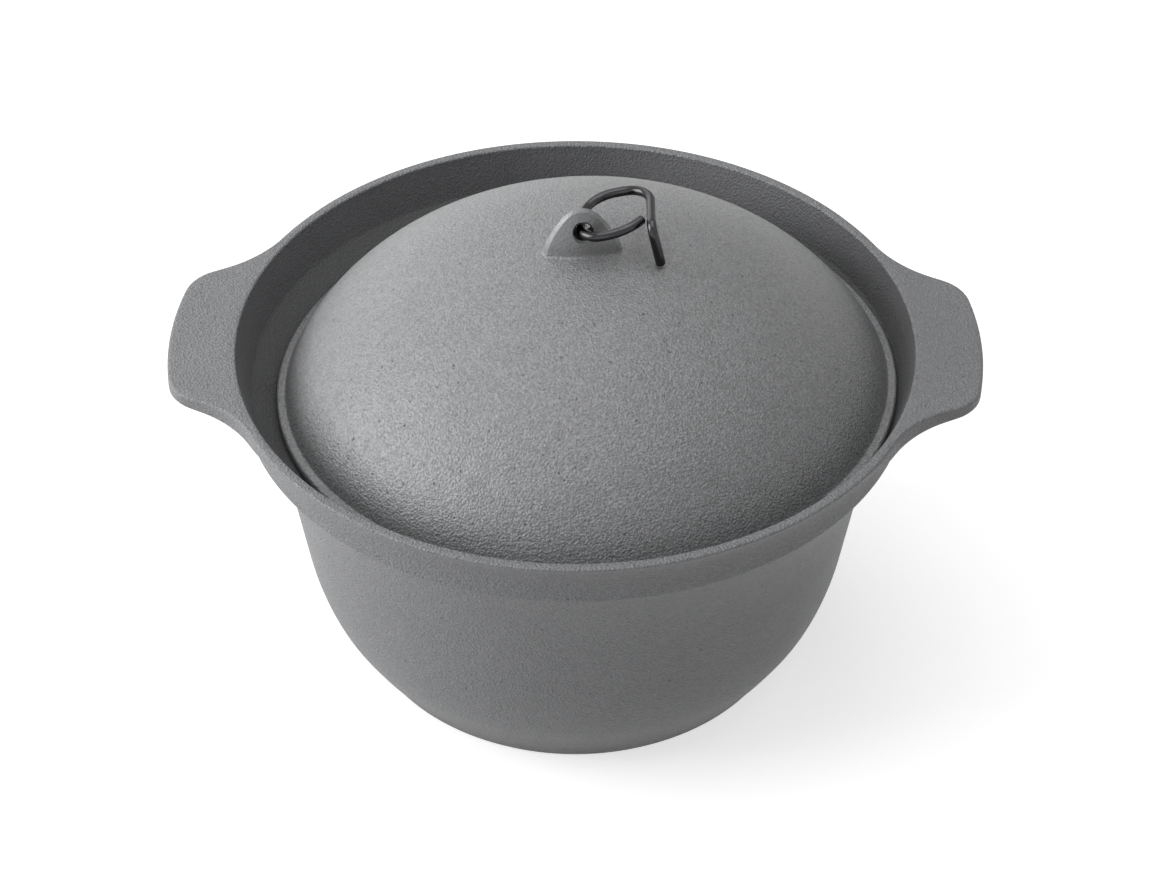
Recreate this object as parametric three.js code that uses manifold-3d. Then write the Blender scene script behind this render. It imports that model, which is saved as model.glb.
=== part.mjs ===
// Cast iron rice pot with a domed lid and a wire pull ring. Millimetres, +Z up.
// The base stands on Z = 0, the pot's axis is Z, and the two flat handles lie along X.
import * as THREE from 'three';
import Module from 'manifold-3d';
import { mergeVertices } from 'three/addons/utils/BufferGeometryUtils.js';

const wasm = await Module();
wasm.setup();

// Fits: under the lid, round the lid, from the lid to the collar it has slid towards,
// under the ring's prop, and from the ring to its hole
const seatGap = 0.36;
const lidPlay = 4.3;
const sideGap = 0.47;
const restGap = 0.3;
const eyeGap = 0.6;

// Pot body, heights over the base
const rimHeight = 111.6;
const rimInnerRadius = 102;
const rimWidth = 3.1;
const rimRound = 0.6;
const collarHeight = 16.2;
const collarEdgeRound = 0.7;
const collarWallLean = 3.9;
const coveDepth = 4.6;
const coveRise = 0.3;
const neckStep = 2.3;
const neckDrop = 0.8;
const neckWall = 9.2;
const footRadius = 66.4;
const footHeight = 2;
const footRound = 0.5;
const floorThickness = 5;

// Outer wall, from the foot up to the neck: shares of that height and of the neck's radius
const bodyHeightShares = [0, 0.05, 0.126, 0.227, 0.36, 0.527, 0.69, 0.777, 0.857, 0.948, 1];
const bodyRadiusShares = [0.693, 0.721, 0.765, 0.814, 0.852, 0.878, 0.902, 0.921, 0.944, 0.978, 1];

// Inner wall, from the throat down to the floor: shares of that height and of the throat's radius
const innerHeightShares = [1, 0.874, 0.697, 0.524, 0.346, 0.218, 0.121, 0.052, 0.015, 0.002, 0];
const innerRadiusShares = [1, 0.982, 0.95, 0.924, 0.894, 0.844, 0.762, 0.632, 0.474, 0.25, 0];

// Handles, flat lugs level with the rim
const handleReach = 17.2;
const handleHalfAngle = 10.4;
const handleCornerRadius = 13;
const handleSideAngle = 25;
const handleRootRadius = 36;
const handleFall = 0.046;
const handleEndThickness = 3.4;
const handleRootThickness = 4.6;
const handleEdgeRound = 1.1;

// Lid, heights over the underside of its flange
const flangeWidth = 2.6;
const flangeThickness = 3;
const flangeRound = 0.8;
const domeRise = 46.2;
const domeCurveHeight = 66;
const lidWall = 4;
const lidDepthInCollar = 16.2;
const lidSlipHeading = -28.6;
const lidTurn = 0.9;
const seatCentreHeight = 125.4;

// Lug on the lid's crown
const lugTopRadius = 7;
const lugArcHeight = 7.6;
const lugSideAngle = 25.6;
const lugSink = 2.4;
const lugBaseThickness = 6.6;
const lugTopThickness = 4.2;
const lugEdgeRound = 1.6;
const holeRadius = 2.8;
const holeHeight = 8.4;

// Pull ring, bent from one length of round wire
const wireRadius = 1.5;
const ringRise = 11;
const nearBendRadius = 7.1;
const nearSweepRadius = 14;
const nearSweepAngle = 50;
const eyeRun = 3.5;
const farBendRadius = 10.7;
const farRun = 2.4;
const cornerRadius = 8;
const sideRun = 8.4;
const propBendRadius = 3;

// Facets
const turns = 72;
const bodySteps = 14;
const innerSteps = 10;
const coveSteps = 5;
const seatSteps = 3;
const domeSteps = 14;
const hollowSteps = 8;
const wireSides = 12;
const wireSteps = 84;
const propSteps = 6;
const roundSteps = 2;
const arcSteps = 10;
const endSteps = 3;
const cornerSteps = 7;
const edgeSteps = 2;
const lugSteps = 12;
const lugEdgeSteps = 3;
const seatEdgeSteps = 3;
const holeSides = 28;

// Values that follow from the sizes above
const quarter = Math.PI / 2;
const half = Math.PI;
const radians = (degrees) => THREE.MathUtils.degToRad(degrees);
const rimOuterRadius = rimInnerRadius + rimWidth;
const handleRadius = rimOuterRadius + handleReach;
const coveRadius = rimOuterRadius - coveDepth;
const neckRadius = coveRadius - neckStep;
const neckHeight = rimHeight - collarHeight - neckDrop;
const seatOuterRadius = rimInnerRadius - collarWallLean;
const throatRadius = neckRadius - neckWall;
const flangeRadius = seatOuterRadius - lidPlay;
const domeRadius = flangeRadius - flangeWidth;
const lidHeight = rimHeight - lidDepthInCollar;
const crownHeight = flangeThickness + domeRise;
const seatCornerRadius = flangeRadius - flangeRound;
const seatCornerHeight = seatCentreHeight - flangeRound;
const seatRadius = Math.hypot(seatCornerRadius, seatCornerHeight) + flangeRound + seatGap;
const seatHeight = (radius) => (
  lidHeight + seatCentreHeight - Math.sqrt(seatRadius ** 2 - radius ** 2)
);
const domeCurveRadius = domeRadius / Math.sqrt(1 - (1 - domeRise / domeCurveHeight) ** 2);
const domeHeight = (radius) => crownHeight
  - domeCurveHeight * (1 - Math.sqrt(1 - (radius / domeCurveRadius) ** 2));
const lidSlip = Math.asin((lidPlay - sideGap) / seatCentreHeight);
const point = (x, y) => new THREE.Vector2(x, y);

// Points of an arc about a centre, both ends included
function arcPoints(x, y, radius, from, to, steps) {
  const points = [];
  for (let i = 0; i <= steps; i += 1) {
    const angle = from + (to - from) * (i / steps);
    points.push(point(x + radius * Math.cos(angle), y + radius * Math.sin(angle)));
  }
  return points;
}

// Smooth curve through a wall's stations
function wallPoints(radiusShares, heightShares, radius, base, height, steps) {
  const stations = radiusShares.map((share, i) => (
    point(radius * share, base + height * heightShares[i])
  ));
  return new THREE.SplineCurve(stations).getSpacedPoints(steps);
}

// Solid of revolution about Z from an outline in radius and height
function turned(outline) {
  const geometry = new THREE.LatheGeometry(outline, turns);
  geometry.rotateX(quarter);
  return geometry;
}

// Closed solid for joins and cuts
function toSolid(geometry) {
  const bare = geometry.clone();
  bare.deleteAttribute('normal');
  bare.deleteAttribute('uv');
  const merged = mergeVertices(bare.index ? bare.toNonIndexed() : bare);
  const mesh = new wasm.Mesh({
    numProp: 3,
    vertProperties: new Float32Array(merged.attributes.position.array),
    triVerts: new Uint32Array(merged.index.array),
  });
  mesh.merge();
  return new wasm.Manifold(mesh);
}

function fromSolid(solid) {
  const mesh = solid.getMesh();
  const geometry = new THREE.BufferGeometry();
  const positions = new Float32Array(mesh.vertProperties);
  geometry.setAttribute('position', new THREE.BufferAttribute(positions, 3));
  geometry.setIndex(new THREE.BufferAttribute(new Uint32Array(mesh.triVerts), 1));
  geometry.computeVertexNormals();
  return geometry;
}

// Pot body: foot, bowl, neck, collar with a cove under the rim, and the lid's round seat
function potOutline() {
  const footInset = footRadius - footRound;
  const foot = [
    point(0, 0),
    ...arcPoints(footInset, footRound, footRound, -quarter, 0, roundSteps),
    point(footRadius, footHeight),
  ];
  const wallHeight = neckHeight - footHeight;
  const [outer, rises] = [bodyRadiusShares, bodyHeightShares];
  const wall = wallPoints(outer, rises, neckRadius, footHeight, wallHeight, bodySteps);
  const edgeHeight = rimHeight - collarHeight + collarEdgeRound;
  const edgeRadius = coveRadius + coveRise - collarEdgeRound;
  const edge = arcPoints(edgeRadius, edgeHeight, collarEdgeRound, -quarter, 0, roundSteps);
  const coveTop = point(rimOuterRadius, rimHeight - rimRound);
  const coveTurn = point(coveRadius - coveRise, (edgeHeight + coveTop.y) / 2 + coveDepth / 2);
  const cove = new THREE.QuadraticBezierCurve(edge[roundSteps], coveTurn, coveTop).getPoints(coveSteps);
  const rim = [
    ...arcPoints(rimOuterRadius - rimRound, coveTop.y, rimRound, 0, quarter, roundSteps),
    ...arcPoints(rimInnerRadius + rimRound, coveTop.y, rimRound, quarter, half, roundSteps),
  ];
  const seat = [];
  for (let i = 0; i <= seatSteps; i += 1) {
    const radius = seatOuterRadius + (throatRadius - seatOuterRadius) * (i / seatSteps);
    seat.push(point(radius, seatHeight(radius)));
  }
  const innerHeight = seat[seatSteps].y - floorThickness;
  const [shares, heights] = [innerRadiusShares, innerHeightShares];
  const inner = wallPoints(shares, heights, throatRadius, floorThickness, innerHeight, innerSteps);
  inner[innerSteps].x = 0;
  return [...foot, ...wall, ...edge, ...cove.slice(1), ...rim.slice(1), ...seat, ...inner.slice(1)];
}

// Plan of one handle: end arc about the pot's axis, round corners, hollow roots into the rim
function handlePlan() {
  const sideAngle = radians(handleSideAngle);
  const cornerAngle = radians(handleHalfAngle);
  const cornerEnd = quarter - sideAngle;
  const cornerDistance = handleRadius - handleCornerRadius;
  const corner = point(cornerDistance * Math.cos(cornerAngle), cornerDistance * Math.sin(cornerAngle));
  const outward = point(Math.sin(sideAngle), Math.cos(sideAngle));
  const inward = point(-Math.cos(sideAngle), Math.sin(sideAngle));
  const sideStart = corner.clone().addScaledVector(outward, handleCornerRadius);
  const offset = sideStart.clone().addScaledVector(outward, handleRootRadius);
  const along = offset.dot(inward);
  const rootDistance = rimOuterRadius + handleRootRadius;
  const travel = -along - Math.sqrt(along ** 2 - offset.lengthSq() + rootDistance ** 2);
  const root = offset.clone().addScaledVector(inward, travel);
  const rootAngle = Math.atan2(root.y, root.x);
  const hollowStart = -quarter - sideAngle;
  const hollow = arcPoints(root.x, root.y, handleRootRadius, hollowStart, rootAngle - half, arcSteps);
  const halfPlan = [
    ...arcPoints(0, 0, handleRadius, 0, cornerAngle, endSteps),
    ...arcPoints(corner.x, corner.y, handleCornerRadius, cornerAngle, cornerEnd, cornerSteps).slice(1),
    ...hollow.slice(1),
    ...arcPoints(0, 0, throatRadius, rootAngle, 0, arcSteps),
  ];
  const mirrored = halfPlan.slice(1, -1).reverse().map((p) => point(p.x, -p.y));
  return [...mirrored, ...halfPlan];
}

// One handle: the plan raised to a plate whose top falls outwards and whose underside thins outwards
function handleGeometry() {
  const geometry = new THREE.ExtrudeGeometry(new THREE.Shape(handlePlan()), {
    depth: handleEndThickness - handleEdgeRound * 2,
    bevelEnabled: true,
    bevelThickness: handleEdgeRound,
    bevelSize: handleEdgeRound,
    bevelOffset: -handleEdgeRound,
    bevelSegments: edgeSteps,
  });
  geometry.translate(0, 0, handleEdgeRound);
  const positions = geometry.attributes.position;
  for (let i = 0; i < positions.count; i += 1) {
    const reach = Math.max(Math.hypot(positions.getX(i), positions.getY(i)) - rimOuterRadius, 0);
    const thickness = THREE.MathUtils.lerp(handleRootThickness, handleEndThickness, reach / handleReach);
    const share = positions.getZ(i) / handleEndThickness;
    positions.setZ(i, rimHeight - handleFall * reach - (1 - share) * thickness);
  }
  return geometry;
}

// Space within the collar, reaching to the middle of its wall
function collarSpace() {
  const middle = rimWidth / 2;
  return turned([
    point(0, seatHeight(throatRadius)),
    point(throatRadius, seatHeight(throatRadius)),
    point(seatOuterRadius + middle, seatHeight(seatOuterRadius)),
    point(rimInnerRadius + middle, rimHeight),
    point(rimInnerRadius + middle, rimHeight + rimWidth),
    point(0, rimHeight + rimWidth),
  ]);
}

function potBody() {
  const right = handleGeometry();
  const left = right.clone().rotateZ(half);
  const handles = toSolid(right).add(toSolid(left)).subtract(toSolid(collarSpace()));
  return fromSolid(toSolid(turned(potOutline())).add(handles));
}

// Lid: dome, narrow flange and hollow underside
function lidOutline() {
  const footAngle = Math.asin(domeRadius / domeCurveRadius);
  const dome = [];
  for (let i = 0; i <= domeSteps; i += 1) {
    const radius = domeCurveRadius * Math.sin(footAngle * (1 - i / domeSteps));
    dome.push(point(radius, domeHeight(radius)));
  }
  const innerCrown = crownHeight - lidWall;
  const innerCurve = domeCurveHeight - lidWall;
  const innerFoot = Math.acos(1 - innerCrown / innerCurve);
  const hollow = [];
  for (let i = 0; i <= hollowSteps; i += 1) {
    const angle = innerFoot * (i / hollowSteps);
    const radius = (domeCurveRadius - lidWall) * Math.sin(angle);
    hollow.push(point(radius, innerCrown - innerCurve * (1 - Math.cos(angle))));
  }
  hollow[hollowSteps].y = 0;
  const flange = [
    ...arcPoints(seatCornerRadius, flangeRound, flangeRound, -quarter, 0, seatEdgeSteps),
    ...arcPoints(seatCornerRadius, flangeThickness - flangeRound, flangeRound, 0, quarter, roundSteps),
  ];
  return [...hollow, ...flange, ...dome];
}

// Lug: a plate with a round top and sloping sides, thinner towards its top
function lugGeometry() {
  const sideAngle = radians(lugSideAngle);
  const top = arcPoints(0, lugArcHeight, lugTopRadius, sideAngle, half - sideAngle, lugSteps);
  const sideDrop = top[0].y + lugSink;
  const footHalf = top[0].x + sideDrop * Math.tan(sideAngle);
  const plan = new THREE.Shape([point(-footHalf, -lugSink), point(footHalf, -lugSink), ...top]);
  const geometry = new THREE.ExtrudeGeometry(plan, {
    depth: lugBaseThickness - lugEdgeRound * 2,
    bevelEnabled: true,
    bevelThickness: lugEdgeRound,
    bevelSize: lugEdgeRound,
    bevelOffset: -lugEdgeRound,
    bevelSegments: lugEdgeSteps,
  });
  geometry.translate(0, 0, lugEdgeRound - lugBaseThickness / 2);
  geometry.rotateX(quarter);
  const lugHeight = lugArcHeight + lugTopRadius;
  const thinning = 1 - lugTopThickness / lugBaseThickness;
  const positions = geometry.attributes.position;
  for (let i = 0; i < positions.count; i += 1) {
    const rise = Math.max(positions.getZ(i), 0) / lugHeight;
    positions.setY(i, positions.getY(i) * (1 - thinning * rise));
  }
  geometry.translate(0, 0, crownHeight);
  return geometry;
}

function lidGeometry() {
  const holeLength = lugBaseThickness + lugEdgeRound;
  const hole = new THREE.CylinderGeometry(holeRadius, holeRadius, holeLength, holeSides);
  hole.translate(0, 0, crownHeight + holeHeight);
  const lid = toSolid(turned(lidOutline())).add(toSolid(lugGeometry()));
  return fromSolid(lid.subtract(toSolid(hole)));
}

// Pull ring: an open loop through the lug's hole, its longer end bent down as a prop
const wireSag = holeRadius - wireRadius - eyeGap;
const eyeHeight = crownHeight + holeHeight - wireSag;

// Depth of the prop's end under the loop, so that its lowest corner stays clear of the dome
function propDrop(sideX, propY, rise) {
  const cornerX = sideX - wireRadius;
  let drop = 0;
  for (let i = 0; i < propSteps; i += 1) {
    const reach = Math.hypot(cornerX * Math.cos(rise) + drop * Math.sin(rise), propY);
    const height = eyeHeight + cornerX * Math.sin(rise) - drop * Math.cos(rise);
    drop += height - domeHeight(reach) - restGap;
  }
  return drop;
}

function ringPath() {
  const rise = radians(ringRise);
  const nearEnd = radians(nearSweepAngle) - quarter;
  const nearY = nearSweepRadius - nearBendRadius;
  const sideX = farBendRadius + farRun + cornerRadius;
  const topY = eyeRun + farBendRadius;
  const cornerY = topY - cornerRadius;
  const bendY = cornerY - sideRun;
  const loop = [
    ...arcPoints(nearBendRadius, nearY, nearSweepRadius, nearEnd, -quarter, arcSteps),
    ...arcPoints(nearBendRadius, 0, nearBendRadius, -quarter, -half, arcSteps).slice(1),
    ...arcPoints(farBendRadius, eyeRun, farBendRadius, half, quarter, arcSteps),
    ...arcPoints(farBendRadius + farRun, cornerY, cornerRadius, quarter, 0, arcSteps),
  ].map((p) => new THREE.Vector3(p.x, p.y, 0));
  const bend = arcPoints(bendY, -propBendRadius, propBendRadius, quarter, half, propSteps);
  const prop = bend.map((p) => new THREE.Vector3(sideX, p.x, p.y));
  const propY = bendY - propBendRadius;
  prop.push(new THREE.Vector3(sideX, propY, -propDrop(sideX, propY, rise)));
  const placed = new THREE.Matrix4().makeRotationY(-rise).setPosition(0, 0, eyeHeight);
  const points = [...loop, ...prop].map((p) => p.applyMatrix4(placed));
  const path = new THREE.CurvePath();
  for (let i = 1; i < points.length; i += 1) {
    path.add(new THREE.LineCurve3(points[i - 1], points[i]));
  }
  return path;
}

function ringGeometry() {
  const section = new THREE.Shape(arcPoints(0, 0, wireRadius, 0, half * 2, wireSides).slice(1));
  return new THREE.ExtrudeGeometry(section, { steps: wireSteps, extrudePath: ringPath() });
}

// The lid rests a little to one side: it has slid along its round seat, about the seat's centre
function placeOnSeat(geometry) {
  const heading = radians(lidSlipHeading);
  const axis = new THREE.Vector3(Math.sin(heading), -Math.cos(heading), 0);
  geometry.rotateZ(radians(lidTurn));
  geometry.translate(0, 0, -seatCentreHeight);
  geometry.applyMatrix4(new THREE.Matrix4().makeRotationAxis(axis, lidSlip));
  geometry.translate(0, 0, lidHeight + seatCentreHeight);
  return geometry;
}

function mesh(name, geometry, color, roughness, metalness) {
  const material = new THREE.MeshStandardMaterial({ color, roughness, metalness });
  const body = new THREE.Mesh(geometry, material);
  body.name = name;
  return body;
}

const group = new THREE.Group();
group.name = 'cast_iron_rice_pot';
group.add(mesh('pot_body', potBody(), 0x5c5d5f, 0.75, 0.35));
group.add(mesh('lid', placeOnSeat(lidGeometry()), 0x626365, 0.78, 0.35));
group.add(mesh('lid_ring', placeOnSeat(ringGeometry()), 0x2a2b2d, 0.45, 0.6));

export default group;
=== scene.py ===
import bpy
import bmesh
import math
from mathutils import Matrix, Quaternion, Vector


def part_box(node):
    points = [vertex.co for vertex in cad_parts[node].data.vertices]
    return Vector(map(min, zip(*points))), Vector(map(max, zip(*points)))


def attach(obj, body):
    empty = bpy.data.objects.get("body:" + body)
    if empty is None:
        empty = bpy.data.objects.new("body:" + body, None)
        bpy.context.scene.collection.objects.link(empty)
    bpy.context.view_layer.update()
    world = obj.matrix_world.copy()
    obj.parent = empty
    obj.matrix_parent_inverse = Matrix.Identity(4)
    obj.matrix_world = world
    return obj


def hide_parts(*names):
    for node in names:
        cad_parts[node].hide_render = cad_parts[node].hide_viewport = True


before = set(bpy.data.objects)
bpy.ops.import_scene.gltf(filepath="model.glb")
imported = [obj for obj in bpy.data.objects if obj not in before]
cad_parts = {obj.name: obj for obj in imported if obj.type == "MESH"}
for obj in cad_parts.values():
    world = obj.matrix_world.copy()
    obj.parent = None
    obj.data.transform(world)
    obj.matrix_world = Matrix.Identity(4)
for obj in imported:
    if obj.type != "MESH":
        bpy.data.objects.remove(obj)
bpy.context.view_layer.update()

# Sizes are in millimetres and angles in degrees, and each mesh is scaled to metres when it is finished
mm = 0.001
quarter = math.radians(90)
fullTurn = math.radians(360)
seamGap = 1e-5  # points that are this close where a turned shape meets itself are one point
mergeGap = 2e-4  # and so are points this close on a finished piece
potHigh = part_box("pot_body")[1]
rimRadius = potHigh.y / mm
rimHeight = potHigh.z / mm
handleRadius = potHigh.x / mm


# Outline helpers

def toward(angle):
    return Vector((math.cos(angle), math.sin(angle)))


def arcPoints(center, radius, start, end, steps=4):
    points = []
    for i in range(steps + 1):
        angle = start + (end - start) * i / steps
        across, up = radius * math.cos(angle), radius * math.sin(angle)
        points.append(Vector((center[0] + across, center[1] + up)))
    return points


def roundedCorner(before, corner, after, radius, steps=4):
    # An arc that replaces the corner between two straight runs
    before, corner, after = Vector(before), Vector(corner), Vector(after)
    inward, outward = (before - corner).normalized(), (after - corner).normalized()
    halfAngle = inward.angle(outward) / 2
    reach = radius / math.tan(halfAngle)
    center = corner + (inward + outward).normalized() * radius / math.sin(halfAngle)
    first = corner + inward * reach - center
    sweep = first.angle_signed(corner + outward * reach - center)
    points = []
    for i in range(steps + 1):
        angle = -sweep * i / steps
        points.append(center + Matrix.Rotation(angle, 2) @ first)
    return points


def smoothThrough(stations, perSpan):
    # One smooth curve through all the stations
    points, last = [], len(stations) - 1
    for i in range(last):
        a, b, c, d = (Vector(stations[max(0, min(last, j))]) for j in (i - 1, i, i + 1, i + 2))
        for k in range(perSpan):
            t = k / perSpan
            curve = b * 2 + (c - a) * t + (a * 2 - b * 5 + c * 4 - d) * t ** 2
            points.append((curve + (b * 3 - a - c * 3 + d) * t ** 3) / 2)
    points.append(Vector(stations[last]))
    return points


def bezierPoints(start, control, end, steps):
    points = []
    for i in range(steps + 1):
        t = i / steps
        curve = Vector(start) * (1 - t) ** 2 + Vector(control) * 2 * t * (1 - t)
        points.append(curve + Vector(end) * t ** 2)
    return points


def evenly(points, count):
    # The same line with its points spread evenly
    lengths = [0.0]
    for a, b in zip(points, points[1:]):
        lengths.append(lengths[-1] + (b - a).length)
    spread, at = [], 0
    for i in range(count + 1):
        want = lengths[-1] * i / count
        while at < len(points) - 2 and lengths[at + 1] < want:
            at += 1
        span = max(lengths[at + 1] - lengths[at], seamGap)
        spread.append(points[at].lerp(points[at + 1], min(1, (want - lengths[at]) / span)))
    return spread


def smoothStep(value):
    value = max(0.0, min(1.0, value))
    return value * value * (3 - 2 * value)


def spunOutline(outline, steps):
    # Turns an outline of radius and height about Z, and notes each vertex's column and row
    bm = bmesh.new()
    bm.verts.layers.int.new("row")
    bm.verts.layers.int.new("column")
    row, column = bm.verts.layers.int["row"], bm.verts.layers.int["column"]
    verts = [bm.verts.new((p.x, 0, p.y)) for p in outline]
    edges = [bm.edges.new(pair) for pair in zip(verts, verts[1:])]
    for i, v in enumerate(verts):
        v[row] = i
    bmesh.ops.spin(
        bm, geom=verts + edges, cent=(0, 0, 0), axis=(0, 0, 1),
        angle=fullTurn, steps=steps, use_merge=True,
    )
    for v in bm.verts:
        v[column] = round(math.atan2(v.co.y, v.co.x) / fullTurn * steps) % steps
    bmesh.ops.remove_doubles(bm, verts=bm.verts, dist=seamGap)
    return bm


def finishPiece(bm, name, body, node, materials, sharpAngle):
    bmesh.ops.remove_doubles(bm, verts=bm.verts, dist=mergeGap)
    bmesh.ops.recalc_face_normals(bm, faces=bm.faces)
    bmesh.ops.scale(bm, vec=(mm, mm, mm), verts=bm.verts)
    mesh = bpy.data.meshes.new(name)
    bm.to_mesh(mesh)
    bm.free()
    mesh.shade_smooth()
    mesh.set_sharp_from_angle(angle=math.radians(sharpAngle))
    for material in materials:
        mesh.materials.append(material)
    piece = bpy.data.objects.new(name, mesh)
    bpy.context.scene.collection.objects.link(piece)
    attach(piece, body)
    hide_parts(node)


# Materials

def nodeMaker(tree):
    def make(kind, **values):
        made = tree.nodes.new(kind)
        for key, value in values.items():
            if key in made.inputs:
                made.inputs[key].default_value = value
            else:
                setattr(made, key, value)
        return made
    return make


sand = {
    "inputs": (
        "Grain Scale", "Pebble Scale", "Pebble Share", "Speck Scale", "Pit Scale", "Pit Chance", "Pit Size",
    ),
    "grainDetail": 2.0, "grainRoughness": 0.6,
    "mottleScale": 55.0, "mottleDetail": 3.0, "mottleRoughness": 0.55,
    "pitRaggedness": 0.5, "pitEdge": (-0.25, 0.05), "pitDepth": 0.3,
}


def makeSandSkin():
    # The skin that a sand mould leaves: fine grain, pebbles and scattered pits
    tree = bpy.data.node_groups.new("sandSkin", "ShaderNodeTree")
    tree.interface.new_socket(name="Vector", in_out="INPUT", socket_type="NodeSocketVector")
    for name in sand["inputs"]:
        tree.interface.new_socket(name=name, in_out="INPUT", socket_type="NodeSocketFloat")
    for name in ("Height", "Specks", "Pits", "Mottle"):
        tree.interface.new_socket(name=name, in_out="OUTPUT", socket_type="NodeSocketFloat")
    make, link = nodeMaker(tree), tree.links.new
    given, out = make("NodeGroupInput"), make("NodeGroupOutput")

    grain = make("ShaderNodeTexNoise", Detail=sand["grainDetail"], Roughness=sand["grainRoughness"])
    link(given.outputs["Vector"], grain.inputs["Vector"])
    link(given.outputs["Grain Scale"], grain.inputs["Scale"])
    pebble = make("ShaderNodeTexVoronoi", Randomness=1.0)
    link(given.outputs["Vector"], pebble.inputs["Vector"])
    link(given.outputs["Pebble Scale"], pebble.inputs["Scale"])
    skin = make("ShaderNodeMix", data_type="FLOAT")
    link(given.outputs["Pebble Share"], skin.inputs["Factor"])
    link(grain.outputs["Fac"], skin.inputs["A"])
    link(pebble.outputs["Distance"], skin.inputs["B"])

    flecks = make("ShaderNodeTexVoronoi", Randomness=1.0)
    link(given.outputs["Vector"], flecks.inputs["Vector"])
    link(given.outputs["Speck Scale"], flecks.inputs["Scale"])
    specks = make("ShaderNodeSeparateColor")
    link(flecks.outputs["Color"], specks.inputs["Color"])

    # A pit opens in the cells whose random value is high enough, with an edge that the grain breaks up
    cells = make("ShaderNodeTexVoronoi", Randomness=1.0)
    link(given.outputs["Vector"], cells.inputs["Vector"])
    link(given.outputs["Pit Scale"], cells.inputs["Scale"])
    chance = make("ShaderNodeSeparateColor")
    link(cells.outputs["Color"], chance.inputs["Color"])
    least = make("ShaderNodeMath", operation="SUBTRACT")
    least.inputs[0].default_value = 1.0
    link(given.outputs["Pit Chance"], least.inputs[1])
    wide = make("ShaderNodeMapRange", clamp=True)
    link(least.outputs[0], wide.inputs["From Min"])
    link(chance.outputs["Red"], wide.inputs["Value"])
    link(given.outputs["Pit Size"], wide.inputs["To Max"])
    ragged = make("ShaderNodeMath", operation="MULTIPLY_ADD")
    ragged.inputs[1].default_value = sand["pitRaggedness"]
    link(grain.outputs["Fac"], ragged.inputs[0])
    link(cells.outputs["Distance"], ragged.inputs[2])
    depth = make("ShaderNodeMath", operation="SUBTRACT")
    link(wide.outputs["Result"], depth.inputs[0])
    link(ragged.outputs[0], depth.inputs[1])
    pits = make("ShaderNodeMapRange", clamp=True, interpolation_type="SMOOTHSTEP")
    pits.inputs["From Min"].default_value = sand["pitEdge"][0]
    pits.inputs["From Max"].default_value = sand["pitEdge"][1]
    link(depth.outputs[0], pits.inputs["Value"])
    height = make("ShaderNodeMath", operation="MULTIPLY_ADD")
    height.inputs[1].default_value = -sand["pitDepth"]
    link(pits.outputs["Result"], height.inputs[0])
    link(skin.outputs["Result"], height.inputs[2])

    mottle = make(
        "ShaderNodeTexNoise", Scale=sand["mottleScale"], Detail=sand["mottleDetail"],
        Roughness=sand["mottleRoughness"],
    )
    link(given.outputs["Vector"], mottle.inputs["Vector"])
    link(height.outputs[0], out.inputs["Height"])
    link(specks.outputs["Red"], out.inputs["Specks"])
    link(pits.outputs["Result"], out.inputs["Pits"])
    link(mottle.outputs["Fac"], out.inputs["Mottle"])
    return tree


def makeIron(name, look, sandSkin):
    material = bpy.data.materials.new(name)
    material.use_nodes = True
    tree = material.node_tree
    make, link = nodeMaker(tree), tree.links.new
    shader = tree.nodes["Principled BSDF"]
    place = make("ShaderNodeTexCoord")
    skin = make("ShaderNodeGroup", node_tree=sandSkin)
    link(place.outputs["Object"], skin.inputs["Vector"])
    for key in sand["inputs"]:
        skin.inputs[key].default_value = look[key]

    tone = make("ShaderNodeMix", data_type="RGBA")
    tone.inputs["A"].default_value = (*look["darkColor"], 1)
    tone.inputs["B"].default_value = (*look["paleColor"], 1)
    link(skin.outputs["Mottle"], tone.inputs["Factor"])
    speckle = make("ShaderNodeMapRange", clamp=True)
    speckle.inputs["To Min"].default_value = 1 - look["speckle"]
    speckle.inputs["To Max"].default_value = 1 + look["speckle"]
    link(skin.outputs["Specks"], speckle.inputs["Value"])
    specked = make("ShaderNodeMix", data_type="RGBA", blend_type="MULTIPLY", Factor=1.0)
    link(tone.outputs["Result"], specked.inputs["A"])
    link(speckle.outputs["Result"], specked.inputs["B"])
    if "footPaintedShade" in look:
        # Painted shade: the casting's colour darkens towards its foot, for the shade where it stands on the
        # floor
        where = make("ShaderNodeSeparateXYZ")
        link(place.outputs["Object"], where.inputs["Vector"])
        shade = make("ShaderNodeMapRange", clamp=True, interpolation_type="SMOOTHSTEP")
        shade.inputs["From Max"].default_value = look["footReach"] * mm
        shade.inputs["To Min"].default_value = look["footPaintedShade"]
        shade.inputs["To Max"].default_value = 1.0
        link(where.outputs["Z"], shade.inputs["Value"])
        shaded = make("ShaderNodeMix", data_type="RGBA", blend_type="MULTIPLY", Factor=1.0)
        link(specked.outputs["Result"], shaded.inputs["A"])
        link(shade.outputs["Result"], shaded.inputs["B"])
        specked = shaded
    pitted = make("ShaderNodeMix", data_type="RGBA")
    pitted.inputs["B"].default_value = (*look["pitColor"], 1)
    link(skin.outputs["Pits"], pitted.inputs["Factor"])
    link(specked.outputs["Result"], pitted.inputs["A"])
    link(pitted.outputs["Result"], shader.inputs["Base Color"])

    rough = make("ShaderNodeMapRange", clamp=True)
    rough.inputs["To Min"].default_value = look["roughness"][0]
    rough.inputs["To Max"].default_value = look["roughness"][1]
    link(skin.outputs["Mottle"], rough.inputs["Value"])
    link(rough.outputs["Result"], shader.inputs["Roughness"])
    bump = make("ShaderNodeBump", Strength=look["bumpStrength"], Distance=look["bumpDepth"] * mm)
    link(skin.outputs["Height"], bump.inputs["Height"])
    link(bump.outputs["Normal"], shader.inputs["Normal"])
    shader.inputs["Metallic"].default_value = look["metallic"]
    shader.inputs["Specular IOR Level"].default_value = look["specular"]
    return material


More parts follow.
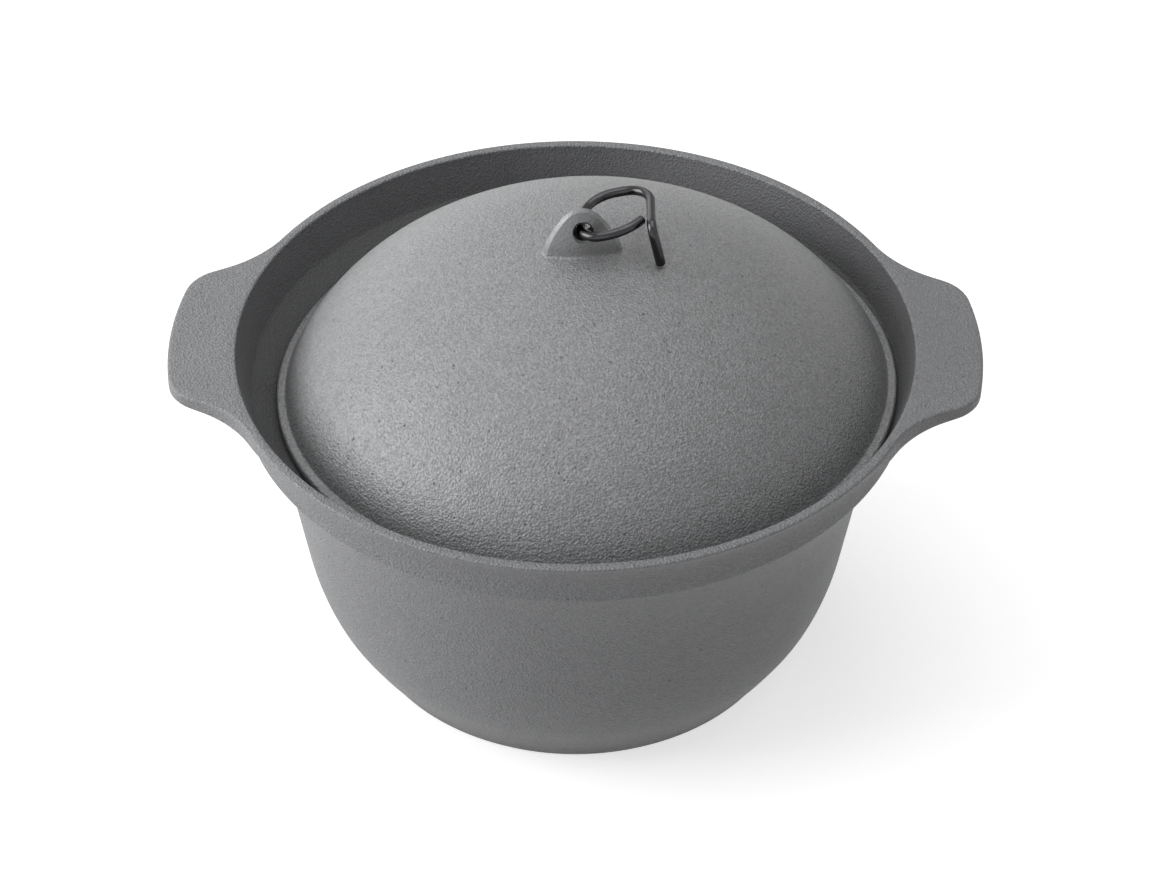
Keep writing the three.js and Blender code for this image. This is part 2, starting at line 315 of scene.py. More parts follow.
# Scales count the grains, pebbles or pits in a metre
potLook = {
    "Grain Scale": 1700.0, "Pebble Scale": 1350.0, "Pebble Share": 0.5, "Speck Scale": 1900.0,
    "Pit Scale": 650.0, "Pit Chance": 0.1, "Pit Size": 0.4,
    "darkColor": (0.165, 0.167, 0.172), "paleColor": (0.205, 0.207, 0.212),
    "pitColor": (0.085, 0.086, 0.089), "speckle": 0.15,
    "roughness": (0.44, 0.56), "metallic": 0.2, "specular": 0.4,
    "bumpStrength": 1.0, "bumpDepth": 0.55,
}
insideLook = dict(potLook)
insideLook.update({
    "Pit Chance": 0.03, "speckle": 0.1, "bumpDepth": 0.3, "metallic": 0.05, "specular": 0.3,
    "darkColor": (0.13, 0.131, 0.135), "paleColor": (0.16, 0.161, 0.165),
})
# Painted shade: the lid's seat and the hollow below it are coloured darker, for the shade under the lid
seatPaintedShadeLook = dict(insideLook)
seatPaintedShadeLook.update({"darkColor": (0.075, 0.076, 0.078), "paleColor": (0.095, 0.096, 0.098)})
# Painted shade: the pot's colour darkens over its lowest part, towards the foot
potLook.update({"footPaintedShade": 0.5, "footReach": 22.0})
lidLook = dict(insideLook)
lidLook.update({
    "Pit Chance": 0.22, "specular": 0.4,
    "darkColor": (0.195, 0.197, 0.201), "paleColor": (0.242, 0.244, 0.249), "speckle": 0.24,
    "roughness": (0.42, 0.54), "metallic": 0.2, "bumpDepth": 0.38,
})
lugLook = dict(lidLook)
lugLook.update({"Pit Chance": 0.02, "speckle": 0.1, "roughness": (0.36, 0.46), "bumpDepth": 0.15})
# Painted shade: the bore of the lug's hole is coloured near black, for the shade inside it
borePaintedShadeLook = dict(lugLook)
borePaintedShadeLook.update({
    "darkColor": (0.025, 0.025, 0.026), "paleColor": (0.035, 0.035, 0.036),
    "roughness": (0.7, 0.8), "metallic": 0.0, "specular": 0.1,
})
wireLook = {
    "color": (0.045, 0.045, 0.047), "wornColor": (0.075, 0.075, 0.077), "roughness": (0.14, 0.22),
    "patchScale": 260.0, "patchDetail": 4.0, "patchRoughness": 0.6, "wornRange": (0.52, 0.75),
    "metallic": 1.0, "fineScale": 1500.0, "fineDetail": 2.0, "bumpStrength": 0.25, "bumpDepth": 0.06,
}


def makeWire(look):
    # Blackened wire, drawn smooth, with faint rubbed patches
    material = bpy.data.materials.new("blackenedWire")
    material.use_nodes = True
    tree = material.node_tree
    make, link = nodeMaker(tree), tree.links.new
    shader = tree.nodes["Principled BSDF"]
    place = make("ShaderNodeTexCoord")
    patches = make(
        "ShaderNodeTexNoise", Scale=look["patchScale"], Detail=look["patchDetail"],
        Roughness=look["patchRoughness"],
    )
    link(place.outputs["Object"], patches.inputs["Vector"])
    rubbed = make("ShaderNodeMapRange", clamp=True)
    rubbed.inputs["From Min"].default_value = look["wornRange"][0]
    rubbed.inputs["From Max"].default_value = look["wornRange"][1]
    link(patches.outputs["Fac"], rubbed.inputs["Value"])
    tone = make("ShaderNodeMix", data_type="RGBA")
    tone.inputs["A"].default_value = (*look["color"], 1)
    tone.inputs["B"].default_value = (*look["wornColor"], 1)
    link(rubbed.outputs["Result"], tone.inputs["Factor"])
    link(tone.outputs["Result"], shader.inputs["Base Color"])
    rough = make("ShaderNodeMapRange", clamp=True)
    rough.inputs["To Min"].default_value = look["roughness"][1]
    rough.inputs["To Max"].default_value = look["roughness"][0]
    link(patches.outputs["Fac"], rough.inputs["Value"])
    link(rough.outputs["Result"], shader.inputs["Roughness"])
    fine = make("ShaderNodeTexNoise", Scale=look["fineScale"], Detail=look["fineDetail"])
    link(place.outputs["Object"], fine.inputs["Vector"])
    bump = make("ShaderNodeBump", Strength=look["bumpStrength"], Distance=look["bumpDepth"] * mm)
    link(fine.outputs["Fac"], bump.inputs["Height"])
    link(bump.outputs["Normal"], shader.inputs["Normal"])
    shader.inputs["Metallic"].default_value = look["metallic"]
    return material


sandSkin = makeSandSkin()
potIron = makeIron("potIron", potLook, sandSkin)
insideIron = makeIron("insideIron", insideLook, sandSkin)
seatPaintedShadeIron = makeIron("seatPaintedShadeIron", seatPaintedShadeLook, sandSkin)
lidIron = makeIron("lidIron", lidLook, sandSkin)
lugIron = makeIron("lugIron", lugLook, sandSkin)
borePaintedShadeIron = makeIron("borePaintedShadeIron", borePaintedShadeLook, sandSkin)
blackenedWire = makeWire(wireLook)
print("materials ready")


# Pot: one casting, turned from its outline, with two flat handles drawn out of the rim

pot = {
    "turns": 384, "bodyRows": 5, "innerRows": 4, "coveSteps": 14, "sharpAngle": 60.0,
    "rimWidth": 3.1, "rimRound": 0.6,
    "collarHeight": 16.2, "collarEdgeRound": 0.7, "collarWallLean": 3.9,
    "coveDepth": 4.6, "coveRise": 0.3, "neckStep": 2.3, "neckDrop": 0.8, "neckWall": 9.2,
    "footRadius": 66.4, "footHeight": 2.0, "footRound": 0.5, "footFlat": 3.0, "floorThickness": 5.0,
    "footTopRound": 0.5, "wallFootRound": 0.6, "neckRound": 0.5,
    "throatRound": 1.4, "seatFillet": 1.2, "seatInsets": (3.0, 5.0, 7.0),
    "collarWallShares": (0.2, 0.5, 0.8),
    # Wall stations: shares of the wall's height and of the neck's or throat's radius
    "bodyHeightShares": (0, 0.05, 0.126, 0.227, 0.36, 0.527, 0.69, 0.777, 0.857, 0.948, 1),
    "bodyRadiusShares": (0.693, 0.721, 0.765, 0.814, 0.852, 0.878, 0.902, 0.921, 0.944, 0.978, 1),
    "innerHeightShares": (1, 0.874, 0.697, 0.524, 0.346, 0.218, 0.121, 0.052, 0.015, 0.002, 0),
    "innerRadiusShares": (1, 0.982, 0.95, 0.924, 0.894, 0.844, 0.762, 0.632, 0.474, 0.25, 0),
}
# The pot's seat follows from the lid's sizes
lid = {
    "turns": 256, "domeRows": 40, "hollowRows": 36, "sharpAngle": 50.0,
    "seatGap": 0.36, "play": 4.3, "sideGap": 0.47,
    "flangeWidth": 2.6, "flangeThickness": 3.0, "flangeRound": 0.8,
    "domeRise": 46.2, "domeCurveHeight": 66.0, "wall": 4.0, "depthInCollar": 16.2,
    "slipHeading": -28.6, "turn": 0.9, "seatCenterHeight": 125.4, "domeFoot": 0.7, "hollowRound": 0.5,
}
rimInner = rimRadius - pot["rimWidth"]
coveRadius = rimRadius - pot["coveDepth"]
neckRadius = coveRadius - pot["neckStep"]
neckHeight = rimHeight - pot["collarHeight"] - pot["neckDrop"]
seatOuter = rimInner - pot["collarWallLean"]
throatRadius = neckRadius - pot["neckWall"]
lidHeight = rimHeight - lid["depthInCollar"]
flangeRadius = seatOuter - lid["play"]
domeRadius = flangeRadius - lid["flangeWidth"]
seatRadius = lid["flangeRound"] + lid["seatGap"] + math.hypot(
    flangeRadius - lid["flangeRound"], lid["seatCenterHeight"] - lid["flangeRound"]
)


def seatHeight(radius):
    return lidHeight + lid["seatCenterHeight"] - math.sqrt(seatRadius ** 2 - radius ** 2)


def potOutline():
    # The outline, and its rows where the cove ends, the rim's edge lies and the two inner finishes start
    foot, footTop = pot["footRadius"], pot["footHeight"]
    wall = smoothThrough([
        (neckRadius * share, footTop + (neckHeight - footTop) * rise)
        for share, rise in zip(pot["bodyRadiusShares"], pot["bodyHeightShares"])
    ], pot["bodyRows"])
    outline = [Vector((0, 0)), Vector((foot / 2, 0)), Vector((foot - pot["footFlat"], 0))]
    outline += roundedCorner((0, 0), (foot, 0), (foot, footTop), pot["footRound"])
    outline += roundedCorner((foot, 0), (foot, footTop), wall[0], pot["footTopRound"])
    outline += roundedCorner((foot, footTop), wall[0], wall[2], pot["wallFootRound"])
    outline += wall[2:-1]

    # Collar, cove and rim
    edgeHeight = rimHeight - pot["collarHeight"] + pot["collarEdgeRound"]
    edgeRadius = coveRadius + pot["coveRise"] - pot["collarEdgeRound"]
    underCollar = Vector((edgeRadius, edgeHeight - pot["collarEdgeRound"]))
    outline += roundedCorner(wall[-2], wall[-1], underCollar, pot["neckRound"])
    edge = arcPoints((edgeRadius, edgeHeight), pot["collarEdgeRound"], -quarter, 0)
    rimSide = rimHeight - pot["rimRound"]
    coveTurn = (coveRadius - pot["coveRise"], (edgeHeight + rimSide + pot["coveDepth"]) / 2)
    cove = bezierPoints(edge[-1], coveTurn, (rimRadius, rimSide), pot["coveSteps"])
    outline += edge + cove[1:]
    coveEnd = len(outline) - 1
    outline += arcPoints((rimRadius - pot["rimRound"], rimSide), pot["rimRound"], 0, quarter)[1:]
    rimEdge = len(outline) - 1
    outline.append(Vector(((rimRadius + rimInner) / 2, rimHeight)))
    outline += arcPoints((rimInner + pot["rimRound"], rimSide), pot["rimRound"], quarter, 2 * quarter)
    insideRow = len(outline) - 1

    # Inside: the collar's wall, the round seat, the throat and the floor
    floorHeight, throatHeight = pot["floorThickness"], seatHeight(throatRadius)
    inner = smoothThrough([
        (throatRadius * share, floorHeight + (throatHeight - floorHeight) * rise)
        for share, rise in zip(pot["innerRadiusShares"], pot["innerHeightShares"])
    ], pot["innerRows"])
    wallFoot = Vector((seatOuter, seatHeight(seatOuter)))
    seatIn = [Vector((seatOuter - inset, seatHeight(seatOuter - inset))) for inset in pot["seatInsets"]]
    for share in pot["collarWallShares"]:
        outline.append(Vector((rimInner, rimSide)).lerp(wallFoot, share))
    seatRow = len(outline) + 2  # the middle of the fillet between collar and seat
    outline += roundedCorner((rimInner, rimSide), wallFoot, seatIn[0], pot["seatFillet"])
    outline += seatIn
    outline += roundedCorner(seatIn[-1], inner[0], inner[2], pot["throatRound"])
    outline += inner[2:-1] + [Vector((0, floorHeight))]
    return outline, coveEnd, rimEdge, insideRow, seatRow


handle = {
    "halfAngle": 10.4, "cornerRadius": 13.0, "sideAngle": 25.0, "rootRadius": 36.0,
    "fall": 0.046, "endThickness": 3.8, "rootThickness": 5.4, "edgeRound": 0.7,
    "undersideFillet": 3.5, "rootBlend": 26.0, "fadeAngle": 39.0, "rootRoundReach": 5.0, "coveRows": 6,
    # A vertex with less than the short travel from rim to handle makes it in one step
    "leastTravel": 0.05, "shortTravel": 0.4, "endSteps": 24, "cornerSteps": 24, "rootSteps": 40,
    "steps": (0.03, 0.07, 0.12, 0.2, 0.35, 0.55, 0.75, 0.9, 0.97, 1.0),
}


def handlePlan():
    # Half a handle's plan, from the middle of its end to its root and the rim, with a point for each column
    side, corner = math.radians(handle["sideAngle"]), math.radians(handle["halfAngle"])
    turn, root = handle["cornerRadius"], handle["rootRadius"]
    cornerCenter = toward(corner) * (handleRadius - turn)
    outward = Vector((math.sin(side), math.cos(side)))
    inward = Vector((-math.cos(side), math.sin(side)))
    offset = cornerCenter + outward * (turn + root)
    along = offset.dot(inward)
    travel = -along - math.sqrt(along ** 2 - offset.length_squared + (rimRadius + root) ** 2)
    rootCenter = offset + inward * travel
    rootAngle = math.atan2(rootCenter.y, rootCenter.x)
    line = arcPoints((0, 0), handleRadius, 0, corner, handle["endSteps"])
    line += arcPoints(cornerCenter, turn, corner, quarter - side, handle["cornerSteps"])[1:]
    line += arcPoints(rootCenter, root, -quarter - side, rootAngle - 2 * quarter, handle["rootSteps"])
    column = fullTurn / pot["turns"]
    rootColumn = round(rootAngle / column)
    endColumn = round(math.radians(handle["fadeAngle"]) / column)
    plan = evenly(line, rootColumn)[:-1]
    for i in range(rootColumn, endColumn + 1):
        plan.append(toward(column * i) * rimRadius)
    return plan


def growHandle(bm, outline, plan, middle, topRow, lowRow):
    # Draws the rim's outer band out to the handle's plan, step by step
    row, column = bm.verts.layers.int["row"], bm.verts.layers.int["column"]
    turns, reach = pot["turns"], len(plan) - 1
    turned = Matrix.Rotation(fullTurn * middle / turns, 2)
    fullLength = sum((b - a).length for a, b in zip(plan, plan[1:]))

    def away(v):
        return (v[column] - middle + turns // 2) % turns - turns // 2

    def plateEdge(out, share):
        # Inset and height on the rounded edge of the handle's plate: share 0 is its top, 1 its underside
        thinning = min(1, out / (handleRadius - rimRadius))
        thick = handle["rootThickness"] + (handle["endThickness"] - handle["rootThickness"]) * thinning
        rounding = smoothStep(out / handle["rootRoundReach"])
        r = pot["rimRound"] + (handle["edgeRound"] - pot["rimRound"]) * rounding
        flat, bend = thick - 2 * r, r * quarter
        want = share * (flat + 2 * bend)
        if want < bend:
            inset, drop = r * (1 - math.sin(want / r)), r * (1 - math.cos(want / r))
        elif want < bend + flat:
            inset, drop = 0, r + want - bend
        else:
            angle = (want - bend - flat) / r
            inset, drop = r * (1 - math.cos(angle)), r + flat + r * math.sin(angle)
        return inset, rimHeight - handle["fall"] * out - drop

    def tipPoint(count, rowNumber, weight):
        # The handle's edge, which runs into the rim's own outline at its root
        i = abs(count)
        here = plan[i]
        if i in (0, reach) or here.length < rimRadius + mergeGap:
            normal = here.normalized()
        else:
            tangent = (plan[i + 1] - plan[i - 1]).normalized()
            normal = Vector((tangent.y, -tangent.x))
        edgeInset, edgeHeight = plateEdge(
            max(here.length - rimRadius, 0), (topRow - rowNumber) / (topRow - lowRow))
        r, z = outline[rowNumber]
        inset = rimRadius - r + (edgeInset - rimRadius + r) * weight
        flatPoint = here - normal * inset
        if count < 0:
            flatPoint.y = -flatPoint.y
        flatPoint = turned @ flatPoint
        return Vector((flatPoint.x, flatPoint.y, z + (edgeHeight - z) * weight))

    def place(count, rowNumber, step):
        # Where a vertex of the band lies at a step from 0, on the rim, to 1, on the handle's edge
        fromRoot = fullLength * (reach - abs(count)) / reach
        weight = smoothStep(fromRoot / handle["rootBlend"])
        tip = tipPoint(count, rowNumber, weight)
        angle = fullTurn * (middle + count) / turns
        r, z = outline[rowNumber]
        base = Vector((r * math.cos(angle), r * math.sin(angle), z))
        travel = (tip - base).length
        if step == 0:
            return tip if travel < handle["leastTravel"] else base
        if step == 1 or travel < handle["shortTravel"]:
            return tip
        point = base.lerp(tip, step)
        if rowNumber == topRow:
            point.z = rimHeight - handle["fall"] * max(math.hypot(point.x, point.y) - rimRadius, 0)
        if rowNumber == lowRow:
            plateLow = rimHeight - handle["rootThickness"]
            flatLow = base.z + (plateLow - base.z) * weight
            travelled = math.hypot(tip.x - base.x, tip.y - base.y) * step
            left = max(0, 1 - travelled / handle["undersideFillet"])
            point.z = flatLow + (tip.z - flatLow) * step - (flatLow - base.z) * left ** 2
        return point

    faces = [
        f for f in bm.faces
        if all(lowRow <= v[row] <= topRow and abs(away(v)) <= reach for v in f.verts)
    ]
    # Where the handle's edge runs into the rim, the band's border moves there first and the steps merge
    for v in dict.fromkeys(v for f in faces for v in f.verts):
        if v[row] in (lowRow, topRow) or abs(away(v)) == reach:
            v.co = place(away(v), v[row], 0)
    for step in handle["steps"]:
        grown = bmesh.ops.extrude_face_region(bm, geom=faces)["geom"]
        bmesh.ops.delete(bm, geom=faces, context="FACES")
        faces = [g for g in grown if isinstance(g, bmesh.types.BMFace)]
        for v in (g for g in grown if isinstance(g, bmesh.types.BMVert)):
            v.co = place(away(v), v[row], step)


def makePot():
    outline, coveEnd, rimEdge, insideRow, seatRow = potOutline()
    bm = spunOutline(outline, pot["turns"])
    row = bm.verts.layers.int["row"]
    finishes = [potIron, insideIron, seatPaintedShadeIron]
    for face in bm.faces:
        # From the seat's fillet inwards the faces take the seat's painted shade
        if all(v[row] >= seatRow for v in face.verts):
            face.material_index = finishes.index(seatPaintedShadeIron)
        elif all(v[row] >= insideRow for v in face.verts):
            face.material_index = finishes.index(insideIron)
    plan = handlePlan()
    for middle in (0, pot["turns"] // 2):
        growHandle(bm, outline, plan, middle, rimEdge, coveEnd - handle["coveRows"])
    finishPiece(bm, "pot_casting", "pot", "pot_body", finishes, pot["sharpAngle"])


makePot()
print("pot ready")


# Lid: one casting, a dome with a narrow flange, a hollow underside and an upright lug

lug = {
    "height": 14.6, "halfWidth": 11.5, "turn": 3.5,
    # The arch's width squared, in shares of the foot's, at shares of the height
    "heightShares": (0, 0.1, 0.2, 0.3, 0.4, 0.5, 0.6, 0.7, 0.8, 0.9, 1),
    "squareShares": (1, 0.974, 0.906, 0.794, 0.667, 0.552, 0.437, 0.325, 0.221, 0.112, 0),
    # The sides rise to a parting ridge, and the faces are full
    "sideInset": 0.8, "footSideDepth": 2.4, "topSideDepth": 1.0, "faceFullness": 1.9,
    "holeRadius": 2.7, "holeHeight": 8.0, "holeOffset": 0.4, "holeFlare": 0.35, "holeSides": 64,
    "fillet": 0.8, "patchRadius": 24.0, "domeReach": 6.0, "ridgeGap": 0.002, "ridgeMerge": 5e-4,
    "archSteps": 8, "sideSteps": 12, "faceSteps": 24, "patchRows": 12, "roundSteps": 6, "faceRows": 40,
}
archLine = smoothThrough(list(zip(lug["heightShares"], lug["squareShares"])), lug["archSteps"])
crownHeight = lid["flangeThickness"] + lid["domeRise"]
domeCurveRadius = domeRadius / math.sqrt(1 - (1 - lid["domeRise"] / lid["domeCurveHeight"]) ** 2)
lidSlip = math.asin((lid["play"] - lid["sideGap"]) / lid["seatCenterHeight"])


def domeHeight(radius):
    sink = 1 - math.sqrt(max(0, 1 - (radius / domeCurveRadius) ** 2))
    return crownHeight - lid["domeCurveHeight"] * sink


def onSeat():
    # The lid has slid along its round seat, about the seat's centre
    heading = math.radians(lid["slipHeading"])
    axis = Vector((math.sin(heading), -math.cos(heading), 0))
    center = lid["seatCenterHeight"]
    lift = Matrix.Translation((0, 0, lidHeight + center))
    slide = Matrix.Rotation(lidSlip, 4, axis)
    drop = Matrix.Translation((0, 0, -center))
    return lift @ slide @ drop @ Matrix.Rotation(math.radians(lid["turn"]), 4, "Z")


def lidOutline():
    # The crown within the patch radius stays open, and the lug's loops fill it
    footAngle = math.asin(domeRadius / domeCurveRadius)
    patchAngle = math.asin(lug["patchRadius"] / domeCurveRadius)
    dome = []
    for i in range(lid["domeRows"] + 1):
        radius = domeCurveRadius * math.sin(patchAngle + (footAngle - patchAngle) * i / lid["domeRows"])
        dome.append(Vector((radius, domeHeight(radius))))
    thick, r = lid["flangeThickness"], lid["flangeRound"]
    outline = dome[:-1]
    outline += roundedCorner(dome[-3], dome[-1], (flangeRadius, thick), lid["domeFoot"])
    outline += roundedCorner((domeRadius, thick), (flangeRadius, thick), (flangeRadius, 0), r)
    outline += roundedCorner((flangeRadius, thick), (flangeRadius, 0), (domeRadius, 0), r)
    innerCrown = crownHeight - lid["wall"]
    innerCurve = lid["domeCurveHeight"] - lid["wall"]
    innerRadius = domeCurveRadius - lid["wall"]
    innerFoot = math.acos(1 - innerCrown / innerCurve)
    hollow = []
    for i in range(lid["hollowRows"] + 1):
        angle = innerFoot * (1 - i / lid["hollowRows"])
        drop = innerCurve * (1 - math.cos(angle))
        hollow.append(Vector((innerRadius * math.sin(angle), innerCrown - drop)))
    outline += roundedCorner((flangeRadius, 0), hollow[0], hollow[1], lid["hollowRound"])
    hollow[-1].x = 0
    return outline + hollow[1:]


def archWidth(height, inset):
    # Half the width of the lug's arch at a height, with its outline drawn in by the inset
    share = height / (lug["height"] - inset)
    if share >= 1:
        return 0
    at = next(i for i in range(1, len(archLine)) if archLine[i].x >= share)
    a, b = archLine[at - 1], archLine[at]
    squared = a.y + (b.y - a.y) * (share - a.x) / (b.x - a.x)
    return (lug["halfWidth"] - inset) * math.sqrt(max(0, squared))


def faceDepths(height):
    # From the parting plane to the side's edge, and on to the fullest part of the face
    foot, top = lug["footSideDepth"], lug["topSideDepth"]
    faceTop = lug["height"] - lug["sideInset"]
    side = foot + (top - foot) * height / lug["height"]
    return side, lug["faceFullness"] * max(0, 1 - (height / faceTop) ** 2)


def lugSlice(height, grow, count):
    # A quarter of the lug's section at a height, from the ridge at its end to the middle of its face
    sideDepth, fullness = faceDepths(height)
    line = []
    for i in range(lug["sideSteps"] + 1):
        share = i / lug["sideSteps"]
        width = archWidth(height, lug["sideInset"] * share)
        line.append(Vector((width, sideDepth * share)))
        if width == 0:
            break
    corner = line[-1]
    if corner.x > 0:
        for i in range(1, lug["faceSteps"] + 1):
            across = 1 - i / lug["faceSteps"]
            line.append(Vector((corner.x * across, corner.y + fullness * (1 - across ** 2))))
    spread = evenly(line, count)
    # The mean of each point and its neighbours softens the edge between side and face
    before, after = Vector((spread[1].x, -spread[1].y)), Vector((-spread[-2].x, spread[-2].y))
    wide = [before] + spread + [after]
    spread = [(wide[i - 1] + wide[i] * 2 + wide[i + 1]) / 4 for i in range(1, len(wide) - 1)]
    if grow:
        grown = []
        for i, p in enumerate(spread):
            tangent = (spread[min(i + 1, count)] - spread[max(i - 1, 0)]).normalized()
            grown.append(p + Vector((tangent.y, -tangent.x)) * grow)
        grown[0].y, grown[-1].x = 0, 0
        spread = grown
    return spread


def lugLoops(count):
    # Loops from the dome's patch edge in to the lug's foot, up its fillet and sides, and over its top
    fillet, quarterCount = lug["fillet"], count // 4
    turned = Matrix.Rotation(math.radians(lug["turn"]), 2)

    def full(quarterLine):
        top = quarterLine[:-1] + [Vector((-p.x, p.y)) for p in reversed(quarterLine[1:])]
        return top + [Vector((-p.x, -p.y)) for p in top]

    circle = [toward(fullTurn * i / count) * lug["patchRadius"] for i in range(count)]
    footLine = full(lugSlice(0, fillet, quarterCount))
    loops = []
    for i in range(1, lug["patchRows"] + 1):
        share = i / lug["patchRows"]
        loops.append([(a.lerp(turned @ b, share), 0.0) for a, b in zip(circle, footLine)])
    for i in range(1, lug["roundSteps"] + 1):
        angle = quarter * i / lug["roundSteps"]
        line = full(lugSlice(0, fillet * (1 - math.sin(angle)), quarterCount))
        loops.append([(turned @ p, fillet * (1 - math.cos(angle))) for p in line])
    rows = lug["faceRows"]
    heights = [fillet + (lug["height"] - fillet) * math.sin(quarter * i / rows) for i in range(1, rows)]
    heights.append(lug["height"] - lug["ridgeGap"])
    for height in heights:
        loops.append([(turned @ p, height) for p in full(lugSlice(height, 0, quarterCount))])
    last = full(lugSlice(heights[-1], 0, quarterCount))
    loops.append([(turned @ Vector((p.x, 0)), lug["height"]) for p in last])
    placed = []
    for loop in loops:
        line = []
        for p, height in loop:
            # The foot follows the dome, and higher up the lug's loops are level
            sink = (crownHeight - domeHeight(p.length)) * (1 - smoothStep(height / lug["domeReach"]))
            line.append(Vector((p.x, p.y, crownHeight + height - sink)))
        placed.append(line)
    return placed


def holeCutter():
    # A pin with flared ends, along Y, that leaves a hole with soft edges
    flare = lug["holeFlare"]
    height = crownHeight + lug["holeHeight"]
    faceAt = sum(faceDepths(lug["holeHeight"]))
    outline = [Vector((lug["holeRadius"], 0))]
    for i in range(lug["roundSteps"] + 1):
        angle = quarter * i / lug["roundSteps"]
        widening, back = flare * (1 - math.cos(angle)), flare * (1 - math.sin(angle))
        outline.append(Vector((lug["holeRadius"] + widening, faceAt - back)))
    wide = outline[-1].x + flare
    outline += [Vector((wide, faceAt + flare)), Vector((wide, faceAt * 2)), Vector((0, faceAt * 2))]
    bm = bmesh.new()
    verts = [bm.verts.new((p.x, p.y, 0)) for p in outline]
    edges = [bm.edges.new(pair) for pair in zip(verts, verts[1:])]
    bmesh.ops.mirror(bm, geom=verts + edges, axis="Y", merge_dist=seamGap)
    bmesh.ops.spin(
        bm, geom=bm.verts[:] + bm.edges[:], cent=(0, 0, 0), axis=(0, 1, 0),
        angle=fullTurn, steps=lug["holeSides"], use_merge=True,
    )
    bmesh.ops.remove_doubles(bm, verts=bm.verts, dist=mergeGap)
    bmesh.ops.recalc_face_normals(bm, faces=bm.faces)
    bmesh.ops.translate(bm, vec=(lug["holeOffset"], 0, height), verts=bm.verts)
    return bm


def cutFrom(bm, cutter):
    # Takes the cutter out of the mesh
    objects = []
    for name, source in (("cutTarget", bm), ("cutTool", cutter)):
        mesh = bpy.data.meshes.new(name)
        source.to_mesh(mesh)
        source.free()
        made = bpy.data.objects.new(name, mesh)
        bpy.context.scene.collection.objects.link(made)
        objects.append(made)
    target, tool = objects
    cut = target.modifiers.new("cut", "BOOLEAN")
    cut.operation, cut.solver, cut.object = "DIFFERENCE", "EXACT", tool
    evaluated = target.evaluated_get(bpy.context.evaluated_depsgraph_get())
    result = bmesh.new()
    result.from_mesh(evaluated.to_mesh())
    evaluated.to_mesh_clear()
    for made in objects:
        mesh = made.data
        bpy.data.objects.remove(made)
        bpy.data.meshes.remove(mesh)
    return result


def makeLid():
    turns = lid["turns"]
    bm = spunOutline(lidOutline(), turns)
    column = bm.verts.layers.int["column"]
    edges = [e for e in bm.edges if e.is_boundary]
    for line in lugLoops(turns):
        grown = bmesh.ops.extrude_edge_only(bm, edges=edges)["geom"]
        edges = [g for g in grown if isinstance(g, bmesh.types.BMEdge) and g.is_boundary]
        for v in (g for g in grown if isinstance(g, bmesh.types.BMVert)):
            v.co = line[v[column]]
    bmesh.ops.remove_doubles(bm, verts=bm.verts, dist=lug["ridgeMerge"])
    bmesh.ops.recalc_face_normals(bm, faces=bm.faces)
    bm = cutFrom(bm, holeCutter())
    bore = Vector((lug["holeOffset"], crownHeight + lug["holeHeight"]))
    finishes = [lidIron, lugIron, borePaintedShadeIron]
    for face in bm.faces:
        at = face.calc_center_median()
        # Faces in and around the hole take its painted shade
        if (at.xz - bore).length < lug["holeRadius"] + lug["holeFlare"]:
            face.material_index = finishes.index(borePaintedShadeIron)
        elif at.z > crownHeight + lug["fillet"] / 2:
            face.material_index = finishes.index(lugIron)
    bmesh.ops.transform(bm, matrix=onSeat(), verts=bm.verts)
    finishPiece(bm, "lid_casting", "lid", "lid", finishes, lid["sharpAngle"])


makeLid()
print("lid ready")


# Pull ring: one length of wire, bent step by step from its near end to its prop

ring = {
    "wireRadius": 1.5, "sides": 24, "eyeRise": 7.7, "restGap": 0.3, "rise": 11.0,
    "nearBend": 5.8, "nearRun": 0.9, "nearSweep": 15.0, "nearSweepAngle": 49.0,
    "eyeLead": 0.4, "eyeRun": 5.0,
    "farBend": 10.1, "farRun": 2.7, "corner": 8.0, "sideRun": 10.7, "propBend": 3.0, "propTries": 6,
    "endRound": 0.55, "endSteps": 4, "sharpAngle": 80.0,
    "nearSweepSteps": 16, "nearBendSteps": 20, "farBendSteps": 24, "cornerSteps": 20, "propSteps": 12,
    "eyeRunSteps": 2, "sideRunSteps": 3, "propRunSteps": 3,
}
eyeHeight = crownHeight + ring["eyeRise"]


def propDrop(sideX, propY, rise):
    # How far the prop's end lies under the loop when it rests on the dome, nearer with each try
    cornerX, drop = sideX - ring["wireRadius"], 0
    for _ in range(ring["propTries"]):
        reach = math.hypot(cornerX * math.cos(rise) + drop * math.sin(rise), propY)
        height = eyeHeight + cornerX * math.sin(rise) - drop * math.cos(rise)
        drop += height - domeHeight(reach) - ring["restGap"]
    return drop


